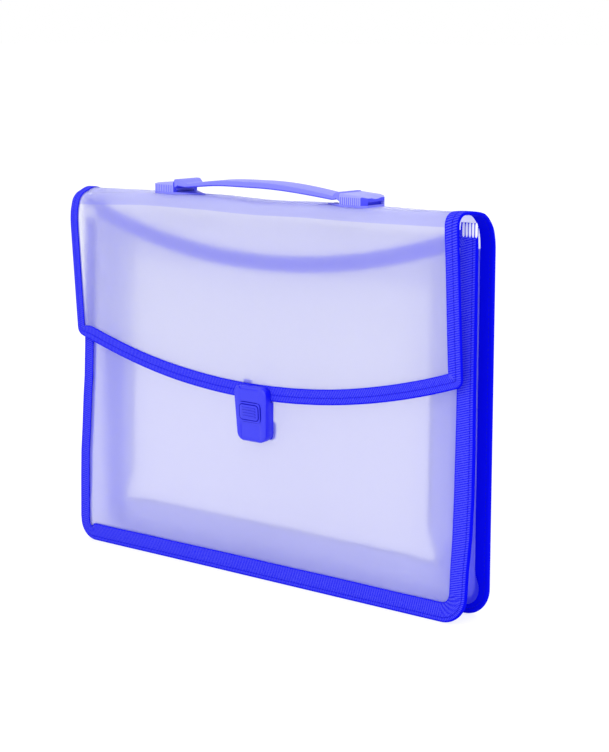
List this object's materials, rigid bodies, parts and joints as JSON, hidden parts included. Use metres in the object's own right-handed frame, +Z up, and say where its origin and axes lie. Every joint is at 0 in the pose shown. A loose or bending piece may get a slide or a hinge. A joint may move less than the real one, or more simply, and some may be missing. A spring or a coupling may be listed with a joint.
{
  "type": "file bag with handle",
  "caption": "Frosted plastic document case with a bound edge, pleated gusset, front flap with push lock and a moulded top handle.",
  "frame": {"origin": "centre of the base of the closed case, midway between the rear tape and the front of the lock button", "axes": "+X to the right across the width, +Y to the back, +Z up"},
  "size_m": [0.36, 0.0392, 0.2812],
  "materials": {
    "frosted_sheet": "frosted translucent polypropylene",
    "binding_tape": "woven folded tape, stitched",
    "lock_plastic": "moulded, satin gloss",
    "handle_plastic": "moulded, satin gloss",
    "spring_steel": "drawn wire"
  },
  "bodies": {
    "case": {"back_panel": "frosted_sheet", "back_stiffener": "frosted_sheet", "gusset": "frosted_sheet", "rear_binding": "binding_tape"},
    "front": {"front_panel": "frosted_sheet", "front_binding": "binding_tape", "mouth_binding": "binding_tape", "lock_catch": "lock_plastic", "catch_backing_plate": "lock_plastic", "catch_rivets": "lock_plastic"},
    "top": {"top_panel": "frosted_sheet", "top_binding_left": "binding_tape", "top_binding_right": "binding_tape", "handle_base_left": "handle_plastic", "handle_base_right": "handle_plastic", "handle_cap_left": "handle_plastic", "handle_cap_right": "handle_plastic", "handle_backing_plates": "handle_plastic", "handle_rivets": "handle_plastic"},
    "handle": {"handle_strap": "handle_plastic"},
    "flap": {"flap_panel": "frosted_sheet", "flap_binding": "binding_tape", "lock_housing": "lock_plastic", "lock_back_plate": "lock_plastic", "lock_rivets": "lock_plastic", "lock_spring": "spring_steel"},
    "button": {"lock_button": "lock_plastic"}
  },
  "joints": [
    {"name": "front_panel_fold", "type": "hinge", "parent": "case", "child": "front", "pos_m": [0, -0.00692, 0], "axis": [-1, 0, 0], "range_deg": [0, 2.5], "deforming": ["gusset"]},
    {"name": "top_hinge", "type": "hinge", "parent": "case", "child": "top", "pos_m": [0, 0.01859, 0.2575], "axis": [-1, 0, 0], "range_deg": [0, 150]},
    {"name": "flap_hinge", "type": "hinge", "parent": "top", "child": "flap", "pos_m": [0, -0.01731, 0.2575], "axis": [-1, 0, 0], "range_deg": [0, 150]},
    {"name": "handle_lift", "type": "slide", "parent": "top", "child": "handle", "axis": [0, 0, 1], "range_m": [0, 0.002]},
    {"name": "lock_button_press", "type": "slide", "parent": "flap", "child": "button", "axis": [0, 0.9988, 0.0499], "range_m": [0, 0.0015], "stiffness_N_per_m": 400, "springref_m": -0.001, "deforming": ["lock_spring"]}
  ]
}
